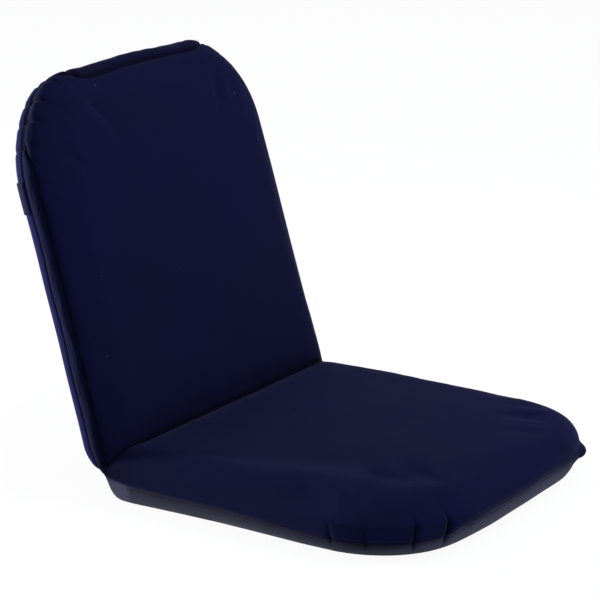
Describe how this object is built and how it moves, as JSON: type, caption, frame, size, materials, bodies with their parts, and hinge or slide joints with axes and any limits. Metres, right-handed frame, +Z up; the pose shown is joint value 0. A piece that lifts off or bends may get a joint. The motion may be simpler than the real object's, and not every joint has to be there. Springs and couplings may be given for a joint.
{
  "type": "folding floor chair",
  "caption": "Legless folding floor chair: two padded cloth-covered panels joined by ratchet hinges, with a grey anti-slip sole.",
  "frame": {"origin": "on the floor, at the middle of the seat's flat underside", "axes": "+Z up, the sitter faces -Y, +X is the sitter's left"},
  "size_m": [0.49, 0.627, 0.5122],
  "materials": {
    "navy_cloth": "smooth woven acrylic cloth, matte with a faint sheen",
    "grey_anti_slip_cloth": "coated woven cloth, matte",
    "navy_webbing": "woven strap",
    "black_webbing": "woven webbing",
    "foam": "open-cell foam, matte",
    "frame_paint": "semi-gloss paint",
    "hinge_steel": "zinc plated",
    "zip_plastic": "moulded",
    "zip_metal": "satin paint"
  },
  "bodies": {
    "seat": {"seat_cover": "navy_cloth", "seat_skirt": "grey_anti_slip_cloth", "seat_base_panel": "grey_anti_slip_cloth", "seat_top_foam": "foam", "seat_edge_foam": "foam", "seat_core_foam": "foam", "seat_bottom_foam": "foam", "seat_frame_tube": "frame_paint", "seat_cross_bar": "frame_paint", "seat_webbing": "black_webbing", "seat_hinge_arm_left": "hinge_steel", "seat_hinge_arm_right": "hinge_steel", "seat_frame_rivets": "hinge_steel", "crease_foam": "foam", "crease_cover": "navy_cloth", "hinge_gusset": "grey_anti_slip_cloth"},
    "back": {"back_cover": "navy_cloth", "back_rear_band": "navy_cloth", "back_rear_panel": "navy_cloth", "back_front_foam": "foam", "back_edge_foam": "foam", "back_core_foam": "foam", "back_rear_foam": "foam", "back_frame_tube": "frame_paint", "back_cross_bar": "frame_paint", "back_webbing": "black_webbing", "back_hinge_plates_left": "hinge_steel", "back_hinge_plates_right": "hinge_steel", "back_plate_spacers": "hinge_steel", "back_frame_rivets": "hinge_steel", "pivot_rivet_left": "hinge_steel", "pivot_rivet_right": "hinge_steel", "pivot_washers": "hinge_steel", "pawl_rivets": "hinge_steel", "pawl_springs": "hinge_steel", "carry_strap": "navy_webbing", "zip_tape": "black_webbing", "zip_teeth": "zip_plastic", "zip_end_stops": "zip_metal"},
    "pawl_left": {"pawl_left": "hinge_steel"},
    "pawl_right": {"pawl_right": "hinge_steel"},
    "zip_slider": {"zip_slider": "zip_metal"},
    "zip_pull": {"zip_pull": "zip_metal"}
  },
  "joints": [
    {"name": "recline", "type": "hinge", "parent": "seat", "child": "back", "pos_m": [0, 0.2285, 0.05], "axis": [1, 0, 0], "range_deg": [-73.6, 92], "deforming": ["crease_foam", "crease_cover", "hinge_gusset"]},
    {"name": "pawl_left_drop", "type": "hinge", "parent": "back", "child": "pawl_left", "pos_m": [0.205, 0.24769, 0.06207], "axis": [1, 0, 0], "range_deg": [0, 12]},
    {"name": "pawl_right_drop", "type": "hinge", "parent": "back", "child": "pawl_right", "pos_m": [-0.205, 0.24769, 0.06207], "axis": [1, 0, 0], "range_deg": [0, 12]},
    {"name": "zip_run", "type": "slide", "parent": "back", "child": "zip_slider", "axis": [-1, 0, 0], "range_m": [0, 0.3794]},
    {"name": "zip_pull_swing", "type": "hinge", "parent": "zip_slider", "child": "zip_pull", "pos_m": [0.1897, 0.29556, 0.10323], "axis": [0, -0.2823, -0.9593], "range_deg": [0, 180]}
  ],
  "couplings": [
    {"joint": "pawl_right_drop", "follows": "pawl_left_drop", "ratio": 1}
  ]
}
